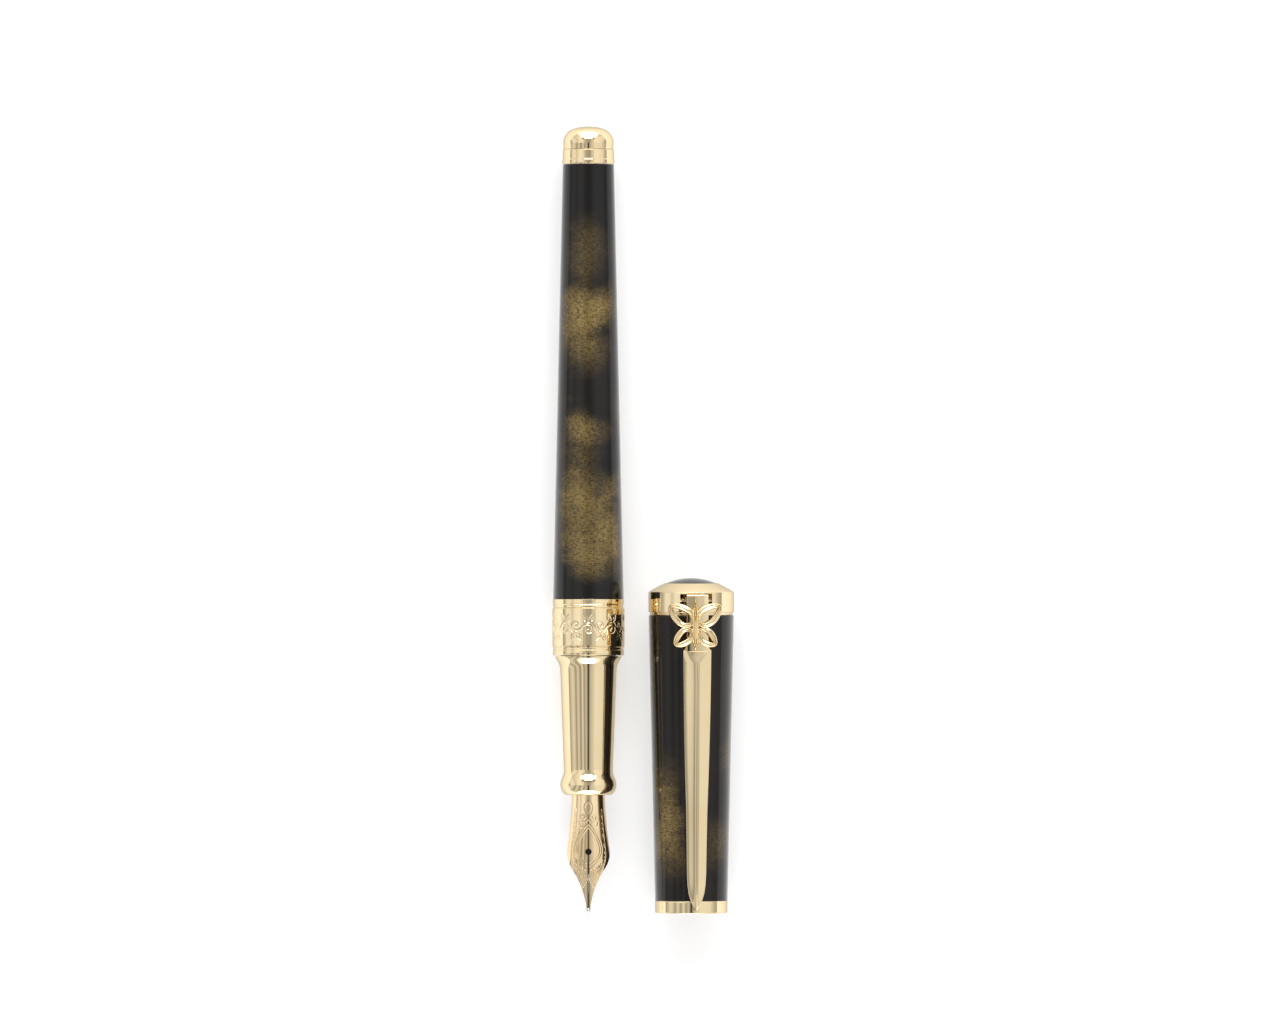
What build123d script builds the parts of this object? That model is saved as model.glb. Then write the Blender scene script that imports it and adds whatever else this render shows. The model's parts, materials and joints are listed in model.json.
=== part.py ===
from build123d import *
import math
import os

# A lacquered metal fountain pen lying open on a table, with its cap beside it. Millimetres.
#
# Row frame: +Z up, the table at z = 0, +Y towards the pen's tail, +X from the pen to its cap.
# The origin is on the table, under the middle of the whole object.
#
# Every piece is modelled on its own axis and then laid on the table. On the pen's axis,
# z runs from the nib's tip to the tail. On the cap's axis, z runs from the mouth to the jewel.
# On both axes y points up, away from the table, and x to the left, away from +X.

# Pen, along its axis
PEN_LENGTH = 130.0
SECTION_FRONT = 19.46
SECTION_REAR = 42.42
BAND_FRONT = 42.5
BAND_REAR = 51.8
BAND_MAIN_FRONT = 44.0
BAND_MAIN_REAR = 50.3
BARREL_REAR = 123.7

# Pen, radii
BAND_R = 5.97
BAND_RIM_R = 5.88
BARREL_FRONT_R = 5.86
BARREL_REAR_R = 4.26
TAIL_R = 4.33
TENON_R = 5.28
BARREL_BORE_R = 4.95
SECTION_BORE_R = 3.42

# Cap, along its axis
CAP_LENGTH = 55.35
MOUTH_RING_TOP = 2.07
TUBE_TOP = 49.3
HEAD_BOTTOM = 49.65
HEAD_EDGE = 49.8

# Cap, radii
MOUTH_R = 6.0
TUBE_MOUTH_R = 6.01
TUBE_TOP_R = 7.08
HEAD_R = 7.10
LINER_BORE_R = 5.0

# Fits
RUNNING = 0.05
SNUG = 0.02

# How the two lie on the table: side by side, both sloping down towards +Y and -Y by the same
# small angle, so that half a turn about an upright line ahead of the nib puts the cap's axis
# on the pen's axis.
AXIS_GAP = 17.0
SWING_GAP = 1.3
TILT = math.degrees(
    math.atan((HEAD_R - BAND_R) / (BAND_MAIN_REAR + HEAD_EDGE + 2 * SWING_GAP))
)
SLOPE_COS = math.cos(math.radians(TILT))
SLOPE_SIN = math.sin(math.radians(TILT))
CAP_X = (AXIS_GAP + BAND_R - HEAD_R) / 2
PEN_X = CAP_X - AXIS_GAP
TIP_Y = -PEN_LENGTH * SLOPE_COS / 2
TIP_Z = BAND_R * SLOPE_COS + BAND_MAIN_REAR * SLOPE_SIN
MOUTH_Z = HEAD_R * SLOPE_COS - HEAD_EDGE * SLOPE_SIN
PEN_AXIS = (0, SLOPE_COS, -SLOPE_SIN)
CAP_AXIS = (0, SLOPE_COS, SLOPE_SIN)
ON_PEN = Plane(origin=(PEN_X, TIP_Y, TIP_Z), x_dir=(-1, 0, 0), z_dir=PEN_AXIS)
ON_CAP = Plane(origin=(CAP_X, TIP_Y, MOUTH_Z), x_dir=(-1, 0, 0), z_dir=CAP_AXIS)

# The upright line that the open cap swings about, and the stroke that closes it
SWING_X = (PEN_X + CAP_X) / 2
SWING_Y = TIP_Y - SWING_GAP
CLOSED_MOUTH = 42.3
CAP_TRAVEL = CLOSED_MOUTH + 2 * SWING_GAP / SLOPE_COS

# Screw joint of the barrel
THREAD_R = 4.20
THREAD_REAR = 50.0
BUSH_FRONT = 46.2
BUSH_REAR = 54.0
TAIL_STUD_R = 1.5
BARREL_END_WALL = 114.0

# Nib: a sheet bent across its width. Each station gives its distance from the tip, its
# half-width, the height of its crown over the axis, and the radius it is bent to.
NIB_THICKNESS = 0.28
NIB_STATIONS = (
    (0.75, 0.36, 0.62, 5.0),
    (3.3, 0.84, 1.12, 5.0),
    (5.3, 1.61, 1.58, 5.0),
    (7.3, 2.72, 2.00, 4.6),
    (8.5, 3.33, 2.20, 4.3),
    (9.77, 3.54, 2.36, 4.1),
    (11.3, 3.39, 2.50, 3.75),
    (15.2, 2.99, 2.70, 3.1),
    (SECTION_FRONT, 2.69, 2.75, 2.75),
)
NIB_REAR = 27.0
SLIT_WIDTH = 0.12
BREATHER_AT = 10.1
BREATHER_R = 0.5

# Feed: it fills the space under the nib
FEED_R = 2.40
FEED_REAR = 38.0
FEED_STATIONS = (
    (6.4, 0.9, -0.75),
    (8.5, 1.8, 0.1),
    (11.3, 2.1, 1.0),
    (15.2, 2.2, 1.75),
    (SECTION_FRONT, 2.3, 2.38),
)
FIN_COUNT = 9
FIN_PITCH = 0.9
FIN_SLOT = 0.35

# Ink nipple and converter
NIPPLE_R = 1.2
NIPPLE_REAR = 47.5
CONVERTER_FRONT = 43.0
CONVERTER_R = 3.15
RESERVOIR_FRONT = 50.0
RESERVOIR_REAR = 86.0
RESERVOIR_BORE_R = 2.7
SLEEVE_REAR = 93.0
KNOB_REAR = 104.5
PISTON_FRONT = 54.0
PISTON_REAR = 58.0
CARRIER_R = 1.4
CARRIER_REAR = 82.0
SCREW_R = 0.8
SCREW_FRONT = 78.0

# Clip: it pivots on a pin in the cap's head and comes out through a window
CLIP_ROLL = 6.8
WINDOW_HALF_WIDTH = 2.65
WINDOW_BOTTOM = 50.6
WINDOW_TOP = 52.9
PIN_R = 0.4
PIN_HEIGHT = 4.4
PIN_AT = 51.75
LEVER_HALF_WIDTH = 1.75
LEVER_BOTTOM = 51.35
LEVER_TOP = 52.15
BAR_HALF_WIDTH = 1.8
BAR_HEIGHT = 7.95
BAR_TOP_HEIGHT = 8.7
BAR_END = 52.75
BLADE_TOP = 43.5
BLADE_EDGE = 0.3
# Each station of the blade: its place on the cap's axis, half-width, and ridge over its base
BLADE_STATIONS = (
    (BLADE_TOP, 2.32, 1.15),
    (41.4, 2.30, 1.20),
    (28.8, 2.10, 1.15),
    (16.6, 1.75, 1.05),
    (6.6, 1.60, 0.95),
    (3.6, 1.35, 0.85),
    (2.0, 0.95, 0.70),
    (0.55, 0.15, 0.45),
)
TIP_HEIGHT = 6.7
ORNAMENT_AT = 47.8
ORNAMENT_SHIFT = 0.45
ORNAMENT_THICKNESS = 1.1
ORNAMENT_LENGTH = 8.5

ROLLED = Rot(0, 0, CLIP_ROLL)


def turned(start, *steps):
    """A solid turned about the z axis from an outline of (radius, z) points. A step that is
    a pair of points is an arc through the first of them to the second."""
    edges = []
    here = start
    for step in (*steps, start):
        if isinstance(step[0], tuple):
            through, there = step
            edges.append(ThreePointArc(flat(here), flat(through), flat(there)))
        else:
            there = step
            edges.append(Line(flat(here), flat(there)))
        here = there
    return revolve(make_face(edges), Axis.Z)


def dome(edge_r, edge_z, top_z):
    """The step from an edge to the top of a dome that is centred on the axis."""
    rise = top_z - edge_z
    ball_r = (edge_r**2 + rise**2) / (2 * rise)
    through_r = edge_r / 2
    through_z = top_z - ball_r + math.sqrt(ball_r**2 - through_r**2)
    return ((through_r, through_z), (0, top_z))


def flat(point):
    """A (radius, z) point in the plane that outlines are drawn in."""
    radius, z = point
    return (radius, 0, z)


def block(low, high):
    """A box between two corners."""
    size = [b - a for a, b in zip(low, high)]
    middle = [(a + b) / 2 for a, b in zip(low, high)]
    return Pos(*middle) * Box(*size)


def rod(radius, start, end, along):
    """A round rod from one point to another that is straight along an axis from it."""
    plane = Plane(origin=start, z_dir=along)
    length = math.dist(start, end)
    return plane * extrude(Circle(radius), length)


# ---- section: the grip, nib and feed, and the thread that the barrel screws on


def grip_section():
    bulge_front = ((3.95, 19.62), (4.35, 20.1))
    bulge = ((4.65, 21.2), (4.35, 22.3))
    throat = ((4.12, 22.75), (4.04, 23.3))
    flare = ((4.80, 40.95), (4.98, 41.3))
    return turned(
        (SECTION_BORE_R, SECTION_FRONT),
        (3.7, SECTION_FRONT),
        bulge_front,
        bulge,
        throat,
        (4.67, 40.1),
        flare,
        (5.48, 42.22),
        (5.5, SECTION_REAR),
        (3.9, SECTION_REAR),
        (3.9, 38.0),
        (SECTION_BORE_R, 38.0),
    )


def section_thread_collar():
    return turned(
        (3.44, 38.05),
        (3.9 - SNUG, 38.05),
        (3.9 - SNUG, SECTION_REAR),
        (THREAD_R, SECTION_REAR),
        (THREAD_R, THREAD_REAR - 0.3),
        (THREAD_R - 0.3, THREAD_REAR),
        (3.44, THREAD_REAR),
    )


def section_seal_ring():
    wire_r = 0.22
    ring_r = THREAD_R + wire_r + 0.01
    wire = Plane.XZ * Pos(ring_r, SECTION_REAR + wire_r + 0.01) * Circle(wire_r)
    return revolve(wire, Axis.Z)


def nib_housing():
    ink_bore_r = 0.4
    return turned(
        (2.80, 19.8),
        (3.40, 19.8),
        (3.40, 41.0),
        (NIPPLE_R, 41.0),
        (NIPPLE_R, NIPPLE_REAR),
        (ink_bore_r, NIPPLE_REAR),
        (ink_bore_r, FEED_REAR + 0.05),
        (2.80, FEED_REAR + 0.05),
    )


def nib_section(at, half_width, crown, bend_r):
    """The nib's section at one station: a strip between two arcs about one centre."""
    centre = crown - bend_r
    angle = math.asin(half_width / bend_r)
    inner_r = bend_r - NIB_THICKNESS
    outer = [(r * math.sin(angle), centre + r * math.cos(angle)) for r in (bend_r, inner_r)]
    (outer_x, outer_y), (inner_x, inner_y) = outer
    edges = [
        ThreePointArc((-outer_x, outer_y), (0, crown), (outer_x, outer_y)),
        Line((outer_x, outer_y), (inner_x, inner_y)),
        ThreePointArc((inner_x, inner_y), (0, crown - NIB_THICKNESS), (-inner_x, inner_y)),
        Line((-inner_x, inner_y), (-outer_x, outer_y)),
    ]
    return Pos(0, 0, at) * make_face(edges)


def nib_slit(reach):
    return block((-SLIT_WIDTH / 2, -reach, -1), (SLIT_WIDTH / 2, reach, BREATHER_AT))


def nib():
    blade = loft([nib_section(*station) for station in NIB_STATIONS], ruled=True)
    root_length = NIB_REAR - SECTION_FRONT
    root = extrude(nib_section(*NIB_STATIONS[-1]), root_length, dir=(0, 0, 1))
    breather = rod(BREATHER_R, (0, 0, BREATHER_AT), (0, 4, BREATHER_AT), (0, 1, 0))
    return blade + root - nib_slit(5) - breather


def nib_tipping():
    """The hard ball welded under the tip, parted by the slit."""
    ball_r = 0.42
    ball = Pos(0, 0.44, ball_r) * Sphere(ball_r)
    ahead_of_nib = block((-1, -1, -1), (1, 2, NIB_STATIONS[0][0]))
    return (ball & ahead_of_nib) - nib_slit(2)


def nib_bend_at(at):
    """Crown height and bend radius of the nib at a distance from its tip."""
    for low, high in zip(NIB_STATIONS, NIB_STATIONS[1:]):
        if low[0] <= at <= high[0]:
            share = (at - low[0]) / (high[0] - low[0])
            return [a + share * (b - a) for a, b in zip(low[2:], high[2:])]


def feed_section(at, half_width, depth):
    """The feed's section: it is bent like the nib above, and round below."""
    crown, bend_r = nib_bend_at(at)
    under_nib = NIB_THICKNESS + 0.08
    top_r = bend_r - under_nib
    edge_y = crown - bend_r + math.sqrt(top_r**2 - half_width**2)
    edges = [
        ThreePointArc((-half_width, edge_y), (0, crown - under_nib), (half_width, edge_y)),
        ThreePointArc((half_width, edge_y), (0, -depth), (-half_width, edge_y)),
    ]
    return Pos(0, 0, at) * make_face(edges)


def feed():
    front = loft([feed_section(*station) for station in FEED_STATIONS], ruled=True)
    rear = Pos(0, 0, SECTION_FRONT - 0.1) * extrude(
        Circle(FEED_R), FEED_REAR - SECTION_FRONT + 0.1
    )
    body = front + rear
    below = block((-4, -4, 0), (4, 0.15, 30))
    for fin in range(FIN_COUNT):
        at = 10.6 + fin * FIN_PITCH
        core_r = 1.1 if at < 12 else 1.5
        slot = turned((core_r, at), (4, at), (4, at + FIN_SLOT), (core_r, at + FIN_SLOT))
        body -= slot & below
    return body


# ---- barrel: the lacquered shell with its centre band, the bush and the tail


def center_band():
    return turned(
        (BARREL_BORE_R, BAND_FRONT),
        (BAND_RIM_R - 0.08, BAND_FRONT),
        (BAND_RIM_R, BAND_FRONT + 0.08),
        (BAND_RIM_R, 43.4),
        (5.80, 43.5),
        (5.80, 43.88),
        (BAND_R - 0.04, BAND_MAIN_FRONT - 0.04),
        (BAND_R, BAND_MAIN_FRONT),
        (BAND_R, BAND_MAIN_REAR),
        (5.78, 50.42),
        (5.78, 50.85),
        (5.87, 50.95),
        (5.87, BAND_REAR),
        (TENON_R + SNUG, BAND_REAR),
        (TENON_R + SNUG, 43.2),
        (BARREL_BORE_R, 43.2),
    )


def barrel_shell():
    return turned(
        (BARREL_BORE_R, 43.25),
        (TENON_R, 43.25),
        (TENON_R, BAND_REAR),
        (BARREL_FRONT_R, BAND_REAR),
        (BARREL_REAR_R, BARREL_REAR),
        (TAIL_STUD_R + RUNNING, BARREL_REAR),
        (TAIL_STUD_R + RUNNING, BARREL_END_WALL),
        (3.6, BARREL_END_WALL),
        (BARREL_BORE_R, 60.0),
    )


def barrel_thread_bush():
    return turned(
        (THREAD_R + RUNNING, BUSH_FRONT),
        (BARREL_BORE_R - 0.03, BUSH_FRONT),
        (BARREL_BORE_R - 0.03, BUSH_REAR),
        (THREAD_R + RUNNING, BUSH_REAR),
    )


def tail_ring():
    return turned(
        (TAIL_STUD_R + SNUG, BARREL_REAR + RUNNING),
        (TAIL_R - 0.05, BARREL_REAR + RUNNING),
        (TAIL_R, BARREL_REAR + 0.12),
        (TAIL_R, 124.5),
        (4.27, 124.7),
        (4.27, 126.1),
        (4.22, 126.2),
        (TAIL_STUD_R + SNUG, 126.2),
    )


def tail_cap():
    shoulder = ((3.94, 128.4), (3.2, 129.3))
    return turned(
        (TAIL_STUD_R + SNUG, 126.2),
        (4.15, 126.2),
        (4.15, 126.85),
        (4.20, 126.95),
        (4.20, 127.25),
        shoulder,
        dome(3.2, 129.3, PEN_LENGTH),
        (0, 127.55),
        (TAIL_STUD_R + SNUG, 127.55),
    )


def tail_stud():
    head_r = 2.6
    return turned(
        (0, BARREL_END_WALL - 1.2),
        (head_r, BARREL_END_WALL - 1.2),
        (head_r, BARREL_END_WALL - RUNNING),
        (TAIL_STUD_R, BARREL_END_WALL - RUNNING),
        (TAIL_STUD_R, 127.5),
        (0, 127.5),
    )


# ---- converter: pushed on the nipple, filled by turning its knob


def converter_mouthpiece():
    plug_r = RESERVOIR_BORE_R - SNUG
    return turned(
        (NIPPLE_R + 0.03, CONVERTER_FRONT),
        (CONVERTER_R, CONVERTER_FRONT),
        (CONVERTER_R, RESERVOIR_FRONT),
        (plug_r, RESERVOIR_FRONT),
        (plug_r, 53.0),
        (0.8, 53.0),
        (0.8, 49.5),
        (NIPPLE_R + 0.03, 49.5),
    )


def converter_reservoir():
    return turned(
        (RESERVOIR_BORE_R, RESERVOIR_FRONT),
        (CONVERTER_R, RESERVOIR_FRONT),
        (CONVERTER_R, RESERVOIR_REAR),
        (RESERVOIR_BORE_R, RESERVOIR_REAR),
    )


def converter_sleeve():
    outer_r = CONVERTER_R + 0.2
    return turned(
        (CONVERTER_R + SNUG, 80.0),
        (outer_r, 80.0),
        (outer_r, SLEEVE_REAR),
        (CARRIER_R + 0.1, SLEEVE_REAR),
        (CARRIER_R + 0.1, RESERVOIR_REAR + RUNNING),
        (CONVERTER_R + SNUG, RESERVOIR_REAR + RUNNING),
    )


def converter_knob():
    outer_r = CONVERTER_R + 0.15
    hollow_r = CARRIER_R + 0.3
    front = SLEEVE_REAR + 0.1
    knob = turned(
        (hollow_r, front),
        (outer_r, front),
        (outer_r, KNOB_REAR - 0.4),
        (outer_r - 0.4, KNOB_REAR),
        (0, KNOB_REAR),
        (0, KNOB_REAR - 2.0),
        (hollow_r, KNOB_REAR - 2.0),
    )
    grooves = 16
    for index in range(grooves):
        turn = Rot(0, 0, index * 360 / grooves)
        knob -= turn * block((outer_r - 0.12, -0.2, 96.0), (outer_r + 1, 0.2, 102.5))
    return knob


def converter_screw():
    return turned(
        (0, SCREW_FRONT),
        (SCREW_R, SCREW_FRONT),
        (SCREW_R, KNOB_REAR - 2.0),
        (0, KNOB_REAR - 2.0),
    )


def piston_head():
    seal_r = RESERVOIR_BORE_R - 0.03
    return turned(
        (0, PISTON_FRONT),
        (2.3, PISTON_FRONT),
        (seal_r, PISTON_FRONT + 0.5),
        (seal_r, PISTON_REAR - 0.5),
        (2.3, PISTON_REAR),
        (0.9 + SNUG, PISTON_REAR),
        (0.9 + SNUG, 56.45),
        (0, 56.45),
    )


def piston_carrier():
    bore_r = SCREW_R + RUNNING
    return turned(
        (0, 56.5),
        (0.9, 56.5),
        (0.9, PISTON_REAR),
        (CARRIER_R, PISTON_REAR),
        (CARRIER_R, CARRIER_REAR),
        (bore_r, CARRIER_REAR),
        (bore_r, 59.0),
        (0, 59.0),
    )


# ---- cap: tube, mouth ring, liner and head


def cap_snap_ring():
    return turned((4.3, 1.6), (4.85, 1.6), (4.85, 3.2), (4.3, 3.2))


def cap_mouth_ring():
    neck_r = 5.48
    return turned(
        (5.62, 0),
        (MOUTH_R - 0.14, 0),
        (MOUTH_R, 0.14),
        (MOUTH_R, MOUTH_RING_TOP - 0.06),
        (MOUTH_R - 0.06, MOUTH_RING_TOP),
        (neck_r, MOUTH_RING_TOP),
        (neck_r, 7.0),
        (LINER_BORE_R, 7.0),
        (LINER_BORE_R, 1.3),
    )


def cap_tube():
    wall = 0.55
    return turned(
        (TUBE_MOUTH_R - wall + 0.04, MOUTH_RING_TOP),
        (TUBE_MOUTH_R, MOUTH_RING_TOP),
        (TUBE_TOP_R, TUBE_TOP - 0.15),
        (TUBE_TOP_R - 0.15, TUBE_TOP),
        (TUBE_TOP_R - wall, TUBE_TOP),
    )


def cap_inner_liner():
    screw_r = 1.0 + SNUG
    return turned(
        (LINER_BORE_R, 7.05),
        (5.45, 7.05),
        (5.45, 49.6),
        (screw_r, 49.6),
        (screw_r, 49.05),
        (LINER_BORE_R, 49.05),
    )


def cap_head():
    edge = ((7.0, 52.97), (6.62, 53.32))
    crown = ((5.6, 53.92), (4.46, 54.5))
    seat_r = 4.30
    body = turned(
        (1.0 + SNUG, HEAD_BOTTOM),
        (5.47, HEAD_BOTTOM),
        (5.47, 45.5),
        (6.40, 45.5),
        (6.40, 49.32),
        (6.86, 49.32),
        (6.86, 49.68),
        (HEAD_R - 0.08, 49.7),
        (HEAD_R, HEAD_EDGE),
        (HEAD_R, 52.6),
        edge,
        crown,
        (seat_r, 54.5),
        (seat_r, 53.35),
        (0, 53.35),
        (0, 51.55),
        (1.0 + SNUG, 51.55),
    )
    pocket = block(
        (-WINDOW_HALF_WIDTH, 1.5, WINDOW_BOTTOM), (WINDOW_HALF_WIDTH, 9, WINDOW_TOP)
    )
    return body - ROLLED * pocket - ROLLED * pin_rod(PIN_R + SNUG, 4.05)


def cap_head_screw():
    return turned((0, 48.5), (1.8, 48.5), (1.8, 49.05), (1.0, 49.05), (1.0, 51.5), (0, 51.5))


def cap_jewel():
    seat_r = 4.26
    return turned((0, 53.4), (seat_r, 53.4), (seat_r, 54.46), dome(seat_r, 54.46, CAP_LENGTH))


# ---- clip


def pin_rod(radius, half_length):
    start = (-half_length, PIN_HEIGHT, PIN_AT)
    end = (half_length, PIN_HEIGHT, PIN_AT)
    return rod(radius, start, end, (1, 0, 0))


def clip_pin():
    return ROLLED * pin_rod(PIN_R, 4.0)


def clip_lever():
    lug = block(
        (-LEVER_HALF_WIDTH, 2.2, LEVER_BOTTOM), (LEVER_HALF_WIDTH, BAR_HEIGHT, LEVER_TOP)
    )
    eye = pin_rod(0.9, LEVER_HALF_WIDTH)
    return ROLLED * (lug + eye - pin_rod(PIN_R + RUNNING, 5))


def clip_spring():
    """A bowed leaf between the pocket's floor and the lever's heel."""
    leaf = 0.14
    foot = WINDOW_BOTTOM + 0.02
    top = LEVER_BOTTOM - 0.03
    ends = (1.6, 3.4)
    middle = sum(ends) / 2
    edges = [
        ThreePointArc((0, ends[0], foot), (0, middle, top), (0, ends[1], foot)),
        Line((0, ends[1], foot), (0, ends[1] - leaf * 1.3, foot)),
        ThreePointArc(
            (0, ends[1] - leaf * 1.3, foot), (0, middle, top - leaf), (0, ends[0] + leaf * 1.3, foot)
        ),
        Line((0, ends[0] + leaf * 1.3, foot), (0, ends[0], foot)),
    ]
    half_width = 1.0
    return ROLLED * extrude(make_face(edges), half_width, dir=(1, 0, 0), both=True)


def blade_section(at, half_width, ridge):
    """The clip blade's section: flat below, two slopes up to a middle ridge above."""
    share = (BLADE_TOP - at) / BLADE_TOP
    base = BAR_HEIGHT + share * (TIP_HEIGHT - BAR_HEIGHT)
    corners = (
        (-half_width, base),
        (half_width, base),
        (half_width, base + min(BLADE_EDGE, ridge / 2)),
        (0, base + ridge),
        (-half_width, base + min(BLADE_EDGE, ridge / 2)),
    )
    return Pos(0, 0, at) * make_face(Polyline(*corners, close=True))


def clip_arm():
    bar = block(
        (-BAR_HALF_WIDTH, BAR_HEIGHT, BLADE_TOP), (BAR_HALF_WIDTH, BAR_TOP_HEIGHT, BAR_END)
    )
    blade = loft([blade_section(*station) for station in BLADE_STATIONS], ruled=True)
    foot_r = 0.95
    foot_at = 4.2
    tube_r = TUBE_MOUTH_R + (foot_at - MOUTH_RING_TOP) * (TUBE_TOP_R - TUBE_MOUTH_R) / 47
    foot = Pos(0, tube_r + 0.06 + foot_r, foot_at) * Sphere(foot_r)
    foot &= block((-2, 0, 0), (2, TIP_HEIGHT + 0.2, 9))
    return ROLLED * (bar + blade + foot)


def clip_ornament():
    """An openwork knot of leaf-shaped loops about a middle leaf, on the clip's bar."""
    on_bar = Plane(
        origin=(ORNAMENT_SHIFT, BAR_TOP_HEIGHT, ORNAMENT_AT), x_dir=(-1, 0, 0), z_dir=(0, 1, 0)
    )
    strand = 0.75
    loops = (
        (2.65, 1.62, 2.25, 1.60, 38),
        (2.15, 1.30, 1.95, -2.15, -42),
    )
    plate = Sketch()
    for half_length, half_width, out, up, lean in loops:
        for side in (1, -1):
            ring = Ellipse(half_length, half_width)
            ring -= Ellipse(half_length - strand, half_width - strand)
            plate += Pos(side * out, up) * Rot(0, 0, side * lean) * ring
    half_leaf = ORNAMENT_LENGTH / 2
    leaf_arc = ThreePointArc((0, -half_leaf), (0.95, 0), (0, half_leaf))
    plate += make_face([leaf_arc, mirror(leaf_arc, Plane.YZ)])
    return ROLLED * (on_bar * extrude(plate, ORNAMENT_THICKNESS))


PEN_PIECES = (
    grip_section,
    section_thread_collar,
    section_seal_ring,
    nib_housing,
    nib,
    nib_tipping,
    feed,
    center_band,
    barrel_shell,
    barrel_thread_bush,
    tail_ring,
    tail_cap,
    tail_stud,
    converter_mouthpiece,
    converter_reservoir,
    converter_sleeve,
    converter_knob,
    converter_screw,
    piston_head,
    piston_carrier,
)
CAP_PIECES = (
    cap_snap_ring,
    cap_mouth_ring,
    cap_tube,
    cap_inner_liner,
    cap_head,
    cap_head_screw,
    cap_jewel,
    clip_pin,
    clip_lever,
    clip_spring,
    clip_arm,
    clip_ornament,
)


def main():
    os.makedirs("parts", exist_ok=True)
    for pieces, frame in ((PEN_PIECES, ON_PEN), (CAP_PIECES, ON_CAP)):
        for piece in pieces:
            name = piece.__name__
            export_step(frame.location * piece(), f"parts/{name}.step")


if __name__ == "__main__":
    main()
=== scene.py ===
import json
import math

import bmesh
import bpy
import numpy as np
from mathutils import Matrix, Vector


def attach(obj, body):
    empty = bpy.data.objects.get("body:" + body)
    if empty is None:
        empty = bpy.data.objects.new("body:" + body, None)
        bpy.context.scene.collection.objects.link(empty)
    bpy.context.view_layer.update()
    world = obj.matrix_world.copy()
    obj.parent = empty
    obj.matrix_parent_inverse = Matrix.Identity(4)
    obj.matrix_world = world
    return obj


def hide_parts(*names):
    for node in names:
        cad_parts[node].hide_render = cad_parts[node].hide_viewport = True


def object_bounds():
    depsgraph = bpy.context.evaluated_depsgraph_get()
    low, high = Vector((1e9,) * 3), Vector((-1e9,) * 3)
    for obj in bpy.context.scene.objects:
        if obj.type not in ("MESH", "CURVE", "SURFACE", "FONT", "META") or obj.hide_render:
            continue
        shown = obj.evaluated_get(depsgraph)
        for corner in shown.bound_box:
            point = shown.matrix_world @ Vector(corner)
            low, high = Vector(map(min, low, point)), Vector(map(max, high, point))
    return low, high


# The looks of an open fountain pen and its cap. Lengths in the pieces' own outlines are in
# millimetres on the pen's or the cap's own axis, and MM turns them into metres.
MM = 0.001

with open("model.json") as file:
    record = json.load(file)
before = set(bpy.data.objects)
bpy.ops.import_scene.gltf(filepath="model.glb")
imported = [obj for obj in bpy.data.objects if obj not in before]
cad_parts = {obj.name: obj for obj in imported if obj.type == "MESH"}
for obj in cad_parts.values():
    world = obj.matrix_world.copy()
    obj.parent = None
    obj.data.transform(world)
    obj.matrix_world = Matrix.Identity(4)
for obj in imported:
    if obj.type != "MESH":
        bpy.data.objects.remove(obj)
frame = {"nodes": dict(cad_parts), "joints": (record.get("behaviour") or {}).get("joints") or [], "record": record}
cad_low, cad_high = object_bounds()
MOUNTS = {m["name"]: m for m in frame["record"]["mounts"]}
JOINTS = {j["name"]: j for j in frame["joints"]}

# ---------------------------------------------------------------- places


def axis_matrix(along, point, at):
    """A matrix from an axis's own millimetres to the row frame: x left, y up, z along."""
    z = Vector(along).normalized()
    x = Vector((-1, 0, 0))
    y = z.cross(x)
    origin = Vector(point) - z * at * MM
    turn = Matrix((x, y, z)).transposed().to_4x4()
    return Matrix.Translation(origin) @ turn @ Matrix.Scale(MM, 4)


BAND_MIDDLE = 47.15
MOUTH_RIM_R = 5.74
CLIP_ROLL = math.radians(6.8)
ON_PEN = axis_matrix(JOINTS["converter_pull"]["axis"], MOUNTS["band_pin"]["pos_m"], BAND_MIDDLE)
cap_along = [-v for v in JOINTS["cap_push"]["axis"]]
mouth_centre = Vector(MOUNTS["cap_mouth"]["pos_m"]) + Vector((MOUTH_RIM_R * MM, 0, 0))
ON_CAP = axis_matrix(cap_along, mouth_centre, 0)
ON_CLIP = ON_CAP @ Matrix.Rotation(CLIP_ROLL, 4, "Z")

# ---------------------------------------------------------------- meshes


def new_piece(name, points, faces, place, body, material, replaced=()):
    """A mesh object from points in an axis's own millimetres."""
    mesh = bpy.data.meshes.new(name)
    mesh.from_pydata([place @ Vector(p) for p in points], [], faces)
    mesh.validate()
    piece = bpy.data.objects.new(name, mesh)
    bpy.context.scene.collection.objects.link(piece)
    outward(mesh)
    piece.data.materials.append(material)
    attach(piece, body)
    if replaced:
        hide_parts(*replaced)
    return piece


def outward(mesh):
    """Turns every face outward."""
    work = bmesh.new()
    work.from_mesh(mesh)
    bmesh.ops.recalc_face_normals(work, faces=work.faces)
    work.to_mesh(mesh)
    work.free()


def soften(piece, angle=35):
    """Smooth shading, kept crisp where faces meet at more than an angle in degrees."""
    mesh = piece.data
    mesh.polygons.foreach_set("use_smooth", [True] * len(mesh.polygons))
    mesh.set_sharp_from_angle(angle=math.radians(angle))
    return piece


def apply_modifiers(piece):
    """Puts the result of a piece's modifiers in its mesh."""
    depsgraph = bpy.context.evaluated_depsgraph_get()
    mesh = bpy.data.meshes.new_from_object(piece.evaluated_get(depsgraph))
    piece.modifiers.clear()
    piece.data = mesh
    return piece


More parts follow.
